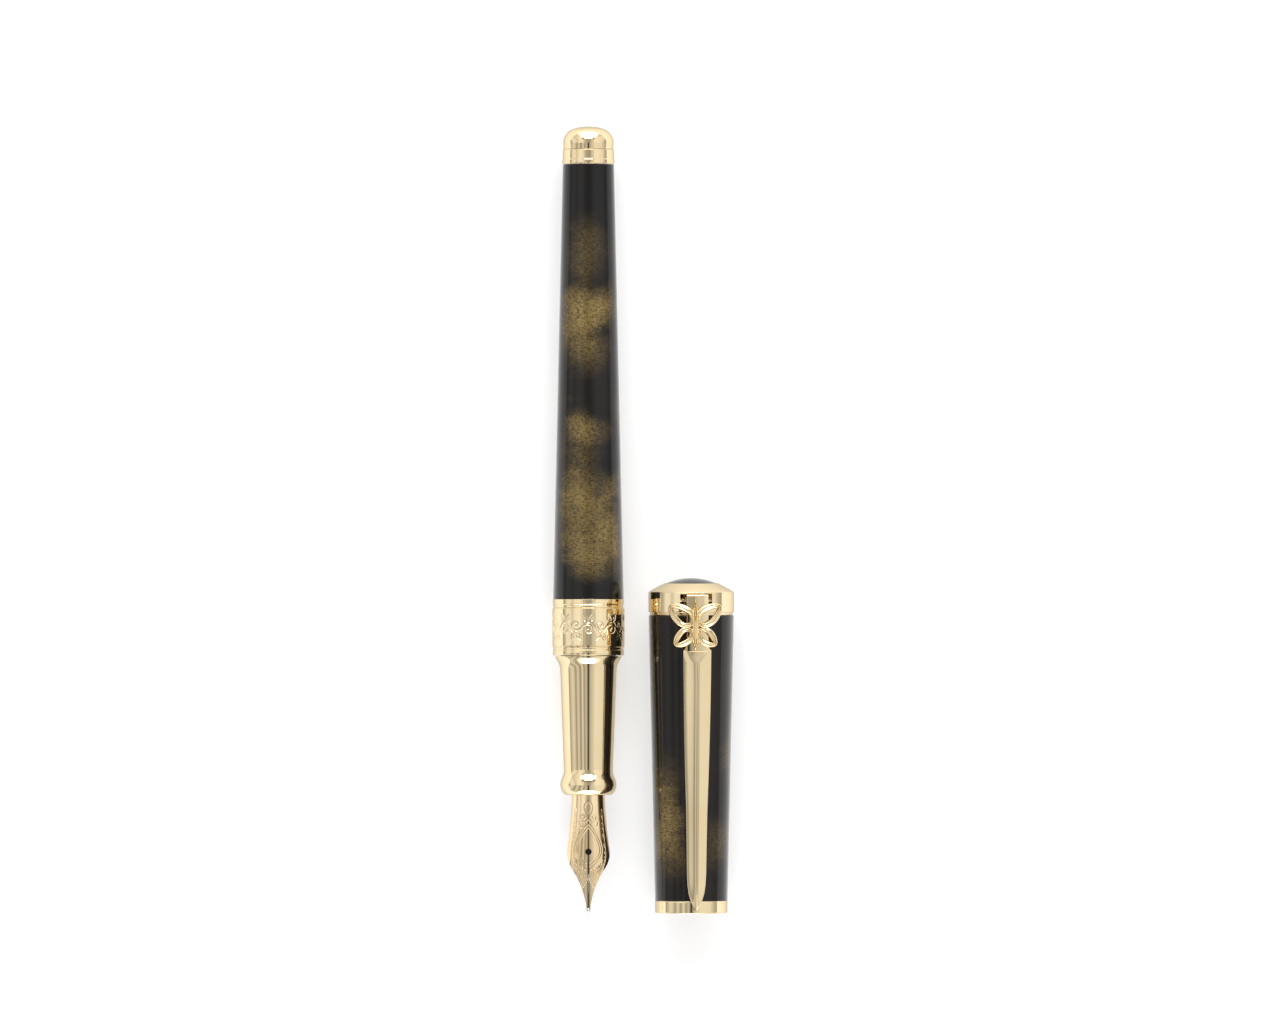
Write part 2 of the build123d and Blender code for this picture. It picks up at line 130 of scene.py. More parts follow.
def cut(piece, points, faces, place):
    """Cuts a closed shape out of a piece."""
    mesh = bpy.data.meshes.new("cutter")
    mesh.from_pydata([place @ Vector(p) for p in points], [], faces)
    outward(mesh)
    cutter = bpy.data.objects.new("cutter", mesh)
    bpy.context.scene.collection.objects.link(cutter)
    step = piece.modifiers.new("cut", "BOOLEAN")
    step.operation = "DIFFERENCE"
    step.solver = "EXACT"
    step.object = cutter
    apply_modifiers(piece)
    bpy.data.objects.remove(cutter)


def block_points(low, high):
    """Corners and faces of a box."""
    points = [(x, y, z) for x in (low[0], high[0]) for y in (low[1], high[1]) for z in (low[2], high[2])]
    faces = [(0, 1, 3, 2), (4, 6, 7, 5), (0, 4, 5, 1), (2, 3, 7, 6), (0, 2, 6, 4), (1, 5, 7, 3)]
    return points, faces


def upright_rod(radius, at, low, high, sides=48):
    """Points and faces of a rod that stands up from the axis."""
    points = []
    for height in (low, high):
        for side in range(sides):
            angle = 2 * math.pi * side / sides
            points.append((radius * math.cos(angle), height, at + radius * math.sin(angle)))
    walls = [(i, (i + 1) % sides, sides + (i + 1) % sides, sides + i) for i in range(sides)]
    return points, [tuple(range(sides)), tuple(range(sides, 2 * sides))] + walls


def rounded(*corners, steps=5):
    """An outline's points from (radius, z, rounding) corners. A corner with two values is sharp."""
    points = []
    count = len(corners)
    for index, corner in enumerate(corners):
        here = Vector(corner[:2])
        size = corner[2] if len(corner) > 2 else 0
        if not size:
            points.append(tuple(here))
            continue
        back = Vector(corners[index - 1][:2]) - here
        on = Vector(corners[(index + 1) % count][:2]) - here
        half = back.angle(on) / 2
        reach = min(size / math.tan(half), 0.49 * back.length, 0.49 * on.length)
        start = here + back.normalized() * reach
        end = here + on.normalized() * reach
        for step in range(steps + 1):
            t = step / steps
            points.append(tuple(start * (1 - t) ** 2 + here * 2 * t * (1 - t) + end * t**2))
    return points


def curve_through(stations, count):
    """Points along a smooth curve through stations, evenly spread by station."""
    stations = np.array(stations, float)
    padded = np.vstack((2 * stations[0] - stations[1], stations, 2 * stations[-1] - stations[-2]))
    result = []
    for t in np.linspace(0, len(stations) - 1, count):
        index = min(int(t), len(stations) - 2)
        u = t - index
        a, b, c, d = padded[index : index + 4]
        result.append(
            0.5 * (2 * b + (c - a) * u + (2 * a - 5 * b + 4 * c - d) * u**2 + (3 * b - a - 3 * c + d) * u**3)
        )
    return result


def fine(outline):
    """The outline with more points along its long straight stretches, for even shading."""
    result = []
    for (r0, z0), (r1, z1) in zip(outline, outline[1:] + outline[:1]):
        result.append((r0, z0))
        length = math.hypot(r1 - r0, z1 - z0)
        if length > 1.5:
            near = 0.2 / length
            for t in (near, *np.linspace(2 * near, 1 - 2 * near, 2 + int(length / 6)), 1 - near):
                result.append((r0 + (r1 - r0) * t, z0 + (z1 - z0) * t))
    return result


def lathe_points(outline, segments):
    """Points and faces of an outline turned about the axis."""
    points = []
    rings = []
    for radius, z in fine(outline):
        if radius < 1e-6:
            rings.append([len(points)])
            points.append((0, 0, z))
            continue
        rings.append(range(len(points), len(points) + segments))
        for side in range(segments):
            angle = 2 * math.pi * side / segments
            points.append((radius * math.cos(angle), radius * math.sin(angle), z))
    faces = []
    for low, high in zip(rings, rings[1:] + rings[:1]):
        if len(low) == len(high) == 1:
            continue
        for side in range(segments):
            after = (side + 1) % segments
            if len(low) == 1:
                faces.append((low[0], high[after], high[side]))
            elif len(high) == 1:
                faces.append((low[side], low[after], high[0]))
            else:
                faces.append((low[side], low[after], high[after], high[side]))
    return points, faces


def lathe(name, outline, place, body, material, replaced=(), segments=160):
    """A turned piece."""
    points, faces = lathe_points(outline, segments)
    return soften(new_piece(name, points, faces, place, body, material, replaced))


# ---------------------------------------------------------------- engraving


def stroke_depth(u, v, strokes, width, softness):
    """How deep an engraved line is at each point: 1 on a stroke and 0 away from it."""
    nearest = np.full(u.shape, 1e9)
    for stroke in strokes:
        stroke = np.array(stroke, float)
        for (ax, ay), (bx, by) in zip(stroke, stroke[1:]):
            dx, dy = bx - ax, by - ay
            length = dx * dx + dy * dy + 1e-12
            t = np.clip(((u - ax) * dx + (v - ay) * dy) / length, 0, 1)
            distance = np.hypot(u - ax - t * dx, v - ay - t * dy)
            nearest = np.minimum(nearest, distance)
    return 1 - np.clip((nearest - width / 2) / softness, 0, 1) ** 2


def spiral(centre, start_r, end_r, start, turn, count=26):
    """A curl: points round a centre, with the radius and angle changing evenly."""
    points = []
    for t in np.linspace(0, 1, count):
        radius = start_r + (end_r - start_r) * t
        angle = math.radians(start + turn * t)
        points.append((centre[0] + radius * math.cos(angle), centre[1] + radius * math.sin(angle)))
    return points


# ---------------------------------------------------------------- materials


class Look:
    """A node material with short calls for the nodes used here."""

    def __init__(self, name):
        self.material = bpy.data.materials.new(name)
        self.material.use_nodes = True
        self.tree = self.material.node_tree
        self.shader = self.tree.nodes["Principled BSDF"]
        self.place = self.add("ShaderNodeTexCoord").outputs["Object"]

    def add(self, kind, **settings):
        node = self.tree.nodes.new(kind)
        for key, value in settings.items():
            setattr(node, key, value)
        return node

    def link(self, output, target):
        self.tree.links.new(output, target)

    def put(self, target, value):
        """Links an output, or sets a plain value."""
        if isinstance(value, bpy.types.NodeSocket):
            self.link(value, target)
        else:
            target.default_value = value

    def set(self, **values):
        """Sets the shader's own sockets."""
        for key, value in values.items():
            self.shader.inputs[key.replace("_", " ")].default_value = value

    def math(self, operation, a, b=0.0, clamp=False):
        node = self.add("ShaderNodeMath", operation=operation, use_clamp=clamp)
        self.put(node.inputs[0], a)
        self.put(node.inputs[1], b)
        return node.outputs[0]

    def noise(self, scale, detail=3.0, roughness=0.5, vector=None):
        node = self.add("ShaderNodeTexNoise")
        self.put(node.inputs["Vector"], vector or self.place)
        self.put(node.inputs["Scale"], scale)
        self.put(node.inputs["Detail"], detail)
        self.put(node.inputs["Roughness"], roughness)
        return node.outputs["Fac"]

    def stretched(self, size, turn=(0, 0, 0)):
        """The place, scaled along each axis."""
        node = self.add("ShaderNodeMapping")
        self.put(node.inputs["Vector"], self.place)
        node.inputs["Scale"].default_value = size
        node.inputs["Rotation"].default_value = turn
        return node.outputs[0]

    def spread(self, value, low, high, to_low, to_high, smooth=False):
        """Maps a range of a value to another range."""
        node = self.add("ShaderNodeMapRange", clamp=True)
        if smooth:
            node.interpolation_type = "SMOOTHSTEP"
        for name, number in zip(("From Min", "From Max", "To Min", "To Max"), (low, high, to_low, to_high)):
            node.inputs[name].default_value = number
        self.put(node.inputs["Value"], value)
        return node.outputs["Result"]

    def mix(self, share, a, b):
        node = self.add("ShaderNodeMix", data_type="RGBA")
        self.put(node.inputs["Factor"], share)
        self.put(node.inputs["A"], (*a, 1) if isinstance(a, tuple) else a)
        self.put(node.inputs["B"], (*b, 1) if isinstance(b, tuple) else b)
        return node.outputs["Result"]

    def bump(self, height, strength, distance):
        node = self.add("ShaderNodeBump")
        node.inputs["Strength"].default_value = strength
        node.inputs["Distance"].default_value = distance
        self.put(node.inputs["Height"], height)
        self.link(node.outputs[0], self.shader.inputs["Normal"])

    def color(self, value):
        self.put(self.shader.inputs["Base Color"], value)

    def roughness(self, value):
        self.put(self.shader.inputs["Roughness"], value)


# How pale the plating turns at grazing angles
EDGE_TINT = 0.60
# Brown under the gold dust, and the dust
UNDERCOAT = (0.040, 0.025, 0.011)
GOLD_DUST = (0.31, 0.216, 0.068)


def polished_metal(name, light, deep, rough, brushed=0.0):
    """Plated metal: slow changes of tone, faint wiping marks and hair-fine scratches."""
    look = Look(name)
    tone = look.noise(90.0, detail=2.0)
    look.color(look.mix(look.spread(tone, 0.35, 0.65, 0, 1), deep, light))
    wipes = look.noise(700.0, detail=4.0, vector=look.stretched((1.0, 0.12, 1.0), (0, 0, 0.3)))
    hairs = look.noise(9000.0, detail=2.0, vector=look.stretched((1.0, 0.03, 1.0), (0.2, 0, 0.12)))
    marks = look.math("ADD", look.math("MULTIPLY", wipes, 0.6), look.math("MULTIPLY", hairs, 0.4))
    look.roughness(look.spread(marks, 0.35, 0.7, rough * 0.7, rough * 1.5))
    look.bump(hairs, 0.02 + brushed, 0.00002)
    look.set(Metallic=1.0, Specular_Tint=(EDGE_TINT, EDGE_TINT, EDGE_TINT, 1))
    return look.material


def lacquer(name, place, clouds, seed):
    """Clear-coated black lacquer over clouds of gold dust with a fine hatched grain."""
    look = Look(name)
    swirl = look.spread(look.noise(120.0, detail=3.0, roughness=0.6), 0.3, 0.7, -1.0, 1.0)
    wisps = look.noise(420.0, detail=4.0, roughness=0.65, vector=look.stretched((0.45, 1.0, 0.45)))
    wisps = look.spread(wisps, 0.3, 0.7, -1.0, 1.0)
    warp = look.math("ADD", look.math("MULTIPLY", swirl, 0.30), look.math("MULTIPLY", wisps, 0.16))
    mask = None
    for across, along, height, half_across, half_along, strength in clouds:
        centre = place @ Vector((-across, height, along))
        shift = look.add("ShaderNodeVectorMath", operation="SUBTRACT")
        look.link(look.place, shift.inputs[0])
        shift.inputs[1].default_value = centre
        scale = look.add("ShaderNodeVectorMath", operation="MULTIPLY")
        look.link(shift.outputs[0], scale.inputs[0])
        scale.inputs[1].default_value = (
            1 / (half_across * MM),
            1 / (half_along * MM),
            1 / (1.6 * half_across * MM),
        )
        length = look.add("ShaderNodeVectorMath", operation="LENGTH")
        look.link(scale.outputs[0], length.inputs[0])
        warped = look.math("ADD", length.outputs["Value"], warp)
        cloud = look.spread(warped, -0.15, 1.35, 0.80 * strength, 0.0, smooth=True)
        gap = look.math("SUBTRACT", 1.0, cloud)
        mask = gap if mask is None else look.math("MULTIPLY", mask, gap)
    mask = look.math("SUBTRACT", 1.0, mask)
    streaks = look.noise(6500.0, detail=3.0, vector=look.stretched((0.25, 1.0, 0.25)))
    threads = look.noise(6500.0, detail=3.0, vector=look.stretched((1.0, 0.25, 1.0), (0, 0, seed)))
    grain = look.math("ADD", look.math("MULTIPLY", streaks, 0.6), look.math("MULTIPLY", threads, 0.4))
    speck = look.spread(grain, 0.42, 0.58, 0.20, 1.60)
    dust = look.math("MULTIPLY", mask, speck, clamp=True)
    haze = look.spread(look.noise(34.0, detail=3.0), 0.45, 0.75, 0.0, 1.0)
    ground = look.mix(haze, (0.004, 0.0036, 0.0036), (0.012, 0.008, 0.005))
    brown = look.mix(look.math("MULTIPLY", mask, 2.4, clamp=True), ground, UNDERCOAT)
    look.color(look.mix(dust, brown, GOLD_DUST))
    look.roughness(look.spread(look.noise(400.0), 0.3, 0.7, 0.20, 0.30))
    look.put(look.shader.inputs["Metallic"], look.spread(dust, 0.2, 1.0, 0.0, 0.6))
    look.set(Specular_IOR_Level=0.10, Coat_Weight=1.0, Coat_Roughness=0.02, Coat_IOR=1.30)
    return look.material


def plastic(name, color, rough, grain=0.0, shine=0.5):
    """Moulded plastic or ebonite with a slight unevenness."""
    look = Look(name)
    tone = look.noise(260.0, detail=3.0)
    dark = tuple(0.7 * c for c in color)
    look.color(look.mix(look.spread(tone, 0.3, 0.7, 0, 1), dark, color))
    look.roughness(look.spread(look.noise(900.0), 0.3, 0.7, rough * 0.8, rough * 1.25))
    look.bump(look.noise(4000.0), 0.08 + grain, 0.00003)
    look.set(Specular_IOR_Level=shine)
    return look.material


def clear_plastic(name):
    look = Look(name)
    look.roughness(look.spread(look.noise(700.0), 0.3, 0.7, 0.03, 0.09))
    look.color(look.mix(look.noise(90.0), (0.90, 0.93, 0.95), (0.97, 0.98, 1.0)))
    look.set(Transmission_Weight=0.92, IOR=1.49)
    return look.material


GOLD = polished_metal("gold_polished", (0.91, 0.75, 0.475), (0.88, 0.71, 0.435), 0.06)
NIB_GOLD = polished_metal("gold_nib", (0.93, 0.73, 0.46), (0.88, 0.67, 0.40), 0.09)
TIPPING = polished_metal("tipping", (0.78, 0.72, 0.62), (0.70, 0.66, 0.58), 0.16)
RAW_BRASS = polished_metal("raw_brass", (0.76, 0.58, 0.28), (0.62, 0.46, 0.22), 0.22, brushed=0.1)
STEEL = polished_metal("steel", (0.62, 0.62, 0.63), (0.52, 0.52, 0.54), 0.20, brushed=0.1)
EBONITE = plastic("ebonite", (0.010, 0.009, 0.009), 0.45, shine=0.25)
INNER_PLASTIC = plastic("inner_plastic", (0.03, 0.03, 0.032), 0.30)
SEAL = plastic("seal", (0.02, 0.02, 0.02), 0.55, grain=0.1)
JEWEL = plastic("jewel", (0.018, 0.017, 0.020), 0.06)
CLEAR = clear_plastic("clear_plastic")

# Clouds of gold dust: across to the right, along, height over the axis, half-width across,
# half-length along, strength
BARREL_CLOUDS = (
    (-1.2, 99.2, 4.7, 4.2, 5.2, 0.80),
    (2.6, 100.2, 4.2, 3.0, 3.6, 0.55),
    (-0.6, 94.0, 4.7, 4.0, 4.6, 0.30),
    (-0.6, 109.0, 4.5, 3.4, 7.0, 0.20),
    (-1.4, 80.0, 5.0, 2.6, 2.8, 0.55),
    (1.6, 79.4, 5.0, 3.6, 2.4, 0.18),
    (-1.4, 75.0, 5.0, 3.6, 4.6, 0.26),
    (-2.2, 69.8, 4.9, 3.2, 4.0, 0.52),
    (1.4, 70.2, 5.0, 3.8, 3.0, 0.20),
    (-1.0, 64.0, 5.2, 4.8, 6.4, 0.52),
    (2.8, 63.2, 5.0, 3.6, 4.4, 0.62),
    (0.8, 59.4, 5.3, 5.4, 4.6, 0.42),
    (2.0, 71.0, -4.6, 4.6, 6.0, 0.70),
    (-2.5, 86.0, -4.2, 4.0, 5.0, 0.60),
    (1.0, 104.0, -4.0, 4.0, 6.0, 0.65),
    (4.6, 82.0, -1.0, 2.6, 5.0, 0.40),
    (-4.6, 60.0, -1.5, 2.6, 5.0, 0.45),
)
CAP_CLOUDS = (
    (-3.7, 15.4, 4.8, 2.7, 5.0, 0.62),
    (-4.2, 21.0, 4.2, 2.8, 5.6, 0.16),
    (-5.2, 11.6, 2.8, 2.6, 3.2, 0.40),
    (-3.8, 9.6, 4.6, 3.4, 3.6, 0.20),
    (4.2, 12.4, 4.4, 3.4, 4.4, 0.13),
    (-2.0, 33.0, -6.2, 4.6, 7.0, 0.65),
    (3.5, 14.0, -5.0, 4.6, 6.0, 0.70),
    (6.2, 27.0, -1.0, 3.0, 7.0, 0.40),
)
BARREL_LACQUER = lacquer("barrel_lacquer", ON_PEN, BARREL_CLOUDS, 0.35)
CAP_LACQUER = lacquer("cap_lacquer", ON_CAP, CAP_CLOUDS, 0.20)

SLOT_LOOKS = {
    "gold_polished": GOLD,
    "gold_nib": NIB_GOLD,
    "tipping": TIPPING,
    "raw_brass": RAW_BRASS,
    "steel": STEEL,
    "ebonite": EBONITE,
    "inner_plastic": INNER_PLASTIC,
    "seal": SEAL,
    "jewel": JEWEL,
    "clear_plastic": CLEAR,
    "lacquer": BARREL_LACQUER,
}
for subpart in frame["record"]["subparts"]:
    node = frame["nodes"][subpart["node"]]
    node.data.materials.clear()
    node.data.materials.append(SLOT_LOOKS[subpart["material_slot"]])
    soften(node)

# ---------------------------------------------------------------- pen: section


def make_grip_section():
    lip = ((3.72, 19.48), (3.98, 19.62), (4.40, 20.15), (4.63, 20.85), (4.65, 21.3), (4.52, 21.95),
           (4.30, 22.50), (4.13, 22.95), (4.05, 23.45))
    flare = ((4.655, 39.9), (4.70, 40.5), (4.82, 41.0), (5.10, 41.55), (5.38, 42.05), (5.48, 42.3))
    outline = [(3.44, 19.55), (3.50, 19.48)]
    outline += [tuple(p) for p in curve_through(lip, 40)]
    outline += [tuple(p) for p in curve_through(flare, 20)]
    outline += [(5.49, 42.40), (3.95, 42.42), (3.44, 42.40)]
    lathe("grip_section_looks", outline, ON_PEN, "section", GOLD, ["grip_section"])


# Place along the nib, half-width, crown's height over the axis, radius across
NIB_STATIONS = (
    (0.55, 0.34, 0.60, 5.0),
    (1.3, 0.37, 0.72, 5.0),
    (2.3, 0.59, 0.93, 5.0),
    (3.3, 0.85, 1.14, 5.0),
    (4.3, 1.20, 1.36, 5.0),
    (5.3, 1.62, 1.58, 5.0),
    (6.3, 2.15, 1.79, 4.8),
    (7.3, 2.74, 1.99, 4.6),
    (8.3, 3.24, 2.17, 4.35),
    (9.3, 3.50, 2.31, 4.15),
    (10.3, 3.50, 2.42, 3.95),
    (11.3, 3.39, 2.50, 3.75),
    (13.2, 3.15, 2.62, 3.4),
    (15.2, 2.99, 2.69, 3.1),
    (17.2, 2.82, 2.73, 2.88),
    (19.4, 2.69, 2.74, 2.76),
    (22.0, 2.68, 2.74, 2.75),
)
NIB_THICKNESS = 0.27
BREATHER_AT = 10.1
BREATHER_R = 0.53
SLIT_WIDTH = 0.12
NIB_STROKE = (0.07, 0.06)
NIB_STROKE_DEPTH = 0.052


def nib_strokes():
    """The nib's engraved lines, as (across, along) points: borders, a tulip round the breather
    hole, rays towards the tip, and a pair of curls over it."""
    edge = [(half, at) for at, half, crown, bend in NIB_STATIONS if 4.0 < at < 18.5]
    tulip = ((0.36, 7.65), (1.1, 8.2), (2.1, 9.3), (2.4, 10.5), (1.9, 12.1), (1.0, 13.5), (0.25, 14.5))
    inner = ((0.36, 8.25), (0.95, 8.65), (1.8, 9.5), (2.05, 10.5), (1.6, 11.9), (0.8, 13.2), (0.15, 14.0))
    tendril = ((0.15, 14.5), (0.8, 14.1), (1.5, 14.3), (1.75, 15.0))
    rays = (
        ((2.25, 8.2), (0.84, 4.5)),
        ((1.85, 7.9), (0.66, 4.6)),
        ((1.45, 7.7), (0.48, 4.8)),
        ((0.95, 7.3), (0.32, 5.1)),
        ((0.50, 7.0), (0.20, 5.5)),
    )
    strokes = []
    for side in (1, -1):
        for inset in (0.40, 0.60):
            border = curve_through([(h - inset * (0.6 + h / 9), a) for h, a in edge], 90)
            strokes.append([(side * x, z) for x, z in border])
        for line in (tulip, inner, tendril):
            strokes.append([(side * x, z) for x, z in curve_through(line, 60)])
        for ray in rays:
            strokes.append([(side * x, z) for x, z in ray])
        curl = spiral((0.82, 15.7), 0.74, 0.14, -150, 430)
        strokes.append([(side * x, z) for x, z in curl])
        leaf = ((0.1, 16.4), (0.55, 16.9), (0.6, 17.7), (0.05, 18.4))
        strokes.append([(side * x, z) for x, z in curve_through(leaf, 24)])
    return strokes


def slit_points():
    """The slit's cutter: it narrows towards the tip, where the tines touch."""
    points, faces = block_points((-1, -1, 3.0), (1, 4, BREATHER_AT))
    narrowed = []
    for x, y, z in points:
        half = SLIT_WIDTH / 2 if z > 5 else SLIT_WIDTH / 30
        narrowed.append((x * half, y, z))
    return narrowed, faces


def make_nib():
    """The nib's curved sheet with its engraving, breather hole and slit."""
    rows, columns = 400, 110
    stations = np.array(curve_through(NIB_STATIONS, rows))
    across = np.linspace(-1, 1, columns)
    at = np.repeat(stations[:, 0:1], columns, 1)
    half, crown, bend = (stations[:, k : k + 1] for k in (1, 2, 3))
    angle = np.arcsin(np.clip(half / bend, -1, 1)) * across
    depth = stroke_depth(bend * angle, at, nib_strokes(), *NIB_STROKE)
    points = []
    for inward in (NIB_STROKE_DEPTH * depth, np.full_like(at, NIB_THICKNESS)):
        radius = bend - inward
        x = radius * np.sin(angle)
        y = crown - bend + radius * np.cos(angle)
        points += [tuple(p) for p in np.stack((x, y, at), 2).reshape(-1, 3)]
    faces = []
    sheet = rows * columns
    for row in range(rows - 1):
        for column in range(columns - 1):
            a = row * columns + column
            faces.append((a, a + 1, a + columns + 1, a + columns))
            faces.append((sheet + a, sheet + a + columns, sheet + a + columns + 1, sheet + a + 1))
    rim = [c for c in range(columns)] + [r * columns + columns - 1 for r in range(1, rows)]
    rim += [(rows - 1) * columns + c for c in range(columns - 2, -1, -1)]
    rim += [r * columns for r in range(rows - 2, 0, -1)]
    for a, b in zip(rim, rim[1:] + rim[:1]):
        faces.append((a, sheet + a, sheet + b, b))
    piece = new_piece("nib_looks", points, faces, ON_PEN, "section", NIB_GOLD, ["nib"])
    cut(piece, *upright_rod(BREATHER_R, BREATHER_AT, 1.2, 4), ON_PEN)
    cut(piece, *slit_points(), ON_PEN)
    return soften(piece, 40)


def make_tipping():
    """Two halves of the hard ball under the tip, with the slit between them."""
    outline = [(0, 0.02)]
    for step in range(1, 14):
        turn = math.pi * step / 16
        outline.append((0.36 * math.sin(turn), 0.44 - 0.42 * math.cos(turn)))
    outline += [(0.20, 0.86), (0, 0.88)]
    place = ON_PEN @ Matrix.Translation((0, 0.44, 0))
    ball = lathe("tipping_looks", outline, place, "section", TIPPING, ["nib_tipping"], 48)
    cut(ball, *block_points((-SLIT_WIDTH / 7, -2, -1), (SLIT_WIDTH / 7, 2, 2)), place)
    return soften(ball)


# ---------------------------------------------------------------- pen: barrel

BAND_R = 5.97
VINE_WAVES = 9
VINE_STROKE = (0.13, 0.13)
VINE_DEPTH = 0.075


def make_center_band():
    """The band, with a running vine engraved round its plain middle."""
    below = rounded((4.96, 42.52), (5.88, 42.52, 0.12), (5.88, 43.38, 0.06), (5.80, 43.46, 0.04),
                    (5.80, 43.86, 0.04), (5.97, 44.02, 0.05), steps=4)
    above = rounded((5.97, 50.28, 0.05), (5.78, 50.42, 0.04), (5.78, 50.84, 0.04), (5.87, 50.96, 0.05),
                    (5.87, 51.79, 0.03), (5.31, 51.80), (5.31, 43.3), (4.96, 43.2), steps=4)
    middle = [(BAND_R, z) for z in np.linspace(44.1, 50.2, 84)]
    outline = below[:-1] + middle + above[1:]
    segments = 756
    points, faces = lathe_points(outline, segments)
    points = np.array(points)
    angle = np.arctan2(points[:, 1], points[:, 0])
    radius = np.hypot(points[:, 0], points[:, 1])
    wave = 2 * math.pi * BAND_R / VINE_WAVES
    u = (angle / (2 * math.pi) * VINE_WAVES) % 1.0 * wave
    v = points[:, 2] - BAND_MIDDLE
    on_middle = (radius > BAND_R - 0.001) & (np.abs(v) < 3.0)
    depth = np.zeros(len(points))
    depth[on_middle] = stroke_depth(u[on_middle], v[on_middle], vine_strokes(wave), *VINE_STROKE)
    inward = (radius - VINE_DEPTH * depth) / np.maximum(radius, 1e-9)
    points[:, 0] *= inward
    points[:, 1] *= inward
    points = points.tolist()
    replaced = ["center_band"]
    piece = new_piece("center_band_looks", points, faces, ON_PEN, "barrel", GOLD, replaced)
    return soften(piece, 40)


def vine_strokes(wave):
    """One wave of a running vine with a curl and two leaves on each side of it."""
    stem = [(t * wave, 0.95 * math.sin(2 * math.pi * t)) for t in np.linspace(-0.3, 1.3, 90)]
    strokes = [stem]
    for flip, middle, start, turn in ((1, 0.25, 140, -390), (-1, 0.75, 40, 390)):
        for shift in (-wave, 0, wave):
            x = wave * middle + shift
            curl = spiral((x, -0.35), 0.95, 0.18, start, turn)
            strokes.append([(a, flip * b) for a, b in curl])
            for side in (1, -1):
                reach = 0.75 * side
                tip = (x + reach, flip * 2.0)
                root = (x + 0.18 * reach, flip * 1.0)
                for belly in (0.26, -0.10):
                    bulge = ((tip[0] + root[0]) / 2 + belly * side, flip * (1.5 - belly * 0.6))
                    strokes.append([tuple(p) for p in curve_through((root, bulge, tip), 12)])
    return strokes


def make_barrel_shell():
    outline = rounded((4.96, 43.3), (5.27, 43.3), (5.27, 51.81), (5.86, 51.81, 0.05), (4.26, 123.69, 0.10),
                      (1.56, 123.69), (1.56, 114.0), (3.6, 114.0), (4.96, 60.0))
    replaced = ["barrel_shell"]
    lathe("barrel_shell_looks", outline, ON_PEN, "barrel", BARREL_LACQUER, replaced, 224)


def make_tail():
    ring = rounded((1.53, 123.76), (4.33, 123.76, 0.06), (4.33, 124.45, 0.10), (4.27, 124.62, 0.06),
                   (4.26, 126.14, 0.10), (4.10, 126.19), (1.53, 126.19))
    lathe("tail_ring_looks", ring, ON_PEN, "tail", GOLD, ["tail_ring"])
    dome = ((4.20, 127.2), (4.17, 127.7), (4.02, 128.2), (3.72, 128.72), (3.30, 129.18), (2.75, 129.52),
            (1.95, 129.79), (1.0, 129.95), (0, 130.0))
    crown = [tuple(p) for p in curve_through(dome, 48)]
    crown[-1] = dome[-1]
    cap = [(1.53, 126.22), (4.13, 126.22), (4.15, 126.28), (4.15, 126.82), (4.17, 126.90)] + crown
    cap += [(0, 127.6), (1.53, 127.6)]
    lathe("tail_cap_looks", cap, ON_PEN, "tail", GOLD, ["tail_cap"])


# ---------------------------------------------------------------- cap

# The clip's window in the head, as the low and high corners of its cutter
WINDOW = ((-2.65, 1.5, 50.6), (2.65, 9, 52.9))
JEWEL_R = 4.26
JEWEL_TOP = 55.35
JEWEL_CURVE_R = 10.64


def make_cap_tube():
    tube = rounded((5.50, 2.09), (6.01, 2.09, 0.04), (7.08, 49.28, 0.30), (6.55, 49.28))
    lathe("cap_tube_looks", tube, ON_CAP, "cap", CAP_LACQUER, ["cap_tube"], 224)
    ring = rounded((5.01, 1.3), (5.63, 0.02, 0.05), (5.99, 0.02, 0.28), (6.0, 2.05, 0.07), (5.48, 2.06),
                   (5.47, 7.0), (5.01, 7.0))
    lathe("mouth_ring_looks", ring, ON_CAP, "cap", GOLD, ["cap_mouth_ring"])


def make_cap_head():
    shoulder = ((6.96, 53.14), (6.40, 53.50), (5.62, 53.92), (5.00, 54.24), (4.52, 54.48))
    crown = [tuple(p) for p in curve_through(shoulder, 16)]
    outline = rounded((5.47, 49.66), (5.47, 45.6), (6.39, 45.6), (6.39, 49.33), (6.86, 49.33, 0.04),
                      (6.86, 49.68, 0.03), (7.10, 49.70, 0.12), (7.10, 53.05, 0.09), (6.96, 53.14))
    outline = outline[:-1] + crown
    outline += rounded((4.30, 54.50, 0.06), (4.30, 53.36), (0, 53.36), (0, 51.56), (1.03, 51.56),
                       (1.03, 49.66))
    head = lathe("cap_head_looks", outline, ON_CAP, "cap", GOLD, ["cap_head"], 256)
    cut(head, *block_points(*WINDOW), ON_CLIP)
    return soften(head, 30)


def make_jewel():
    dome = [(JEWEL_R, 53.42), (JEWEL_R, 54.40)]
    steps = 24
    for step in range(1, steps + 1):
        radius = JEWEL_R * (1 - step / steps)
        dome.append((radius, JEWEL_TOP - JEWEL_CURVE_R + math.sqrt(JEWEL_CURVE_R**2 - radius**2)))
    dome.append((0, 53.42))
    lathe("jewel_looks", dome, ON_CAP, "cap", JEWEL, ["cap_jewel"])


# ---------------------------------------------------------------- clip

BLADE_TOP = 43.5
BAR_HEIGHT = 7.95
BAR_HALF_WIDTH = 1.8
TIP_HEIGHT = 6.7
FOOT_R = 0.93
FOOT_DROP = 0.95
FOOT_HEIGHT = 7.07
FOOT_AT = 4.2
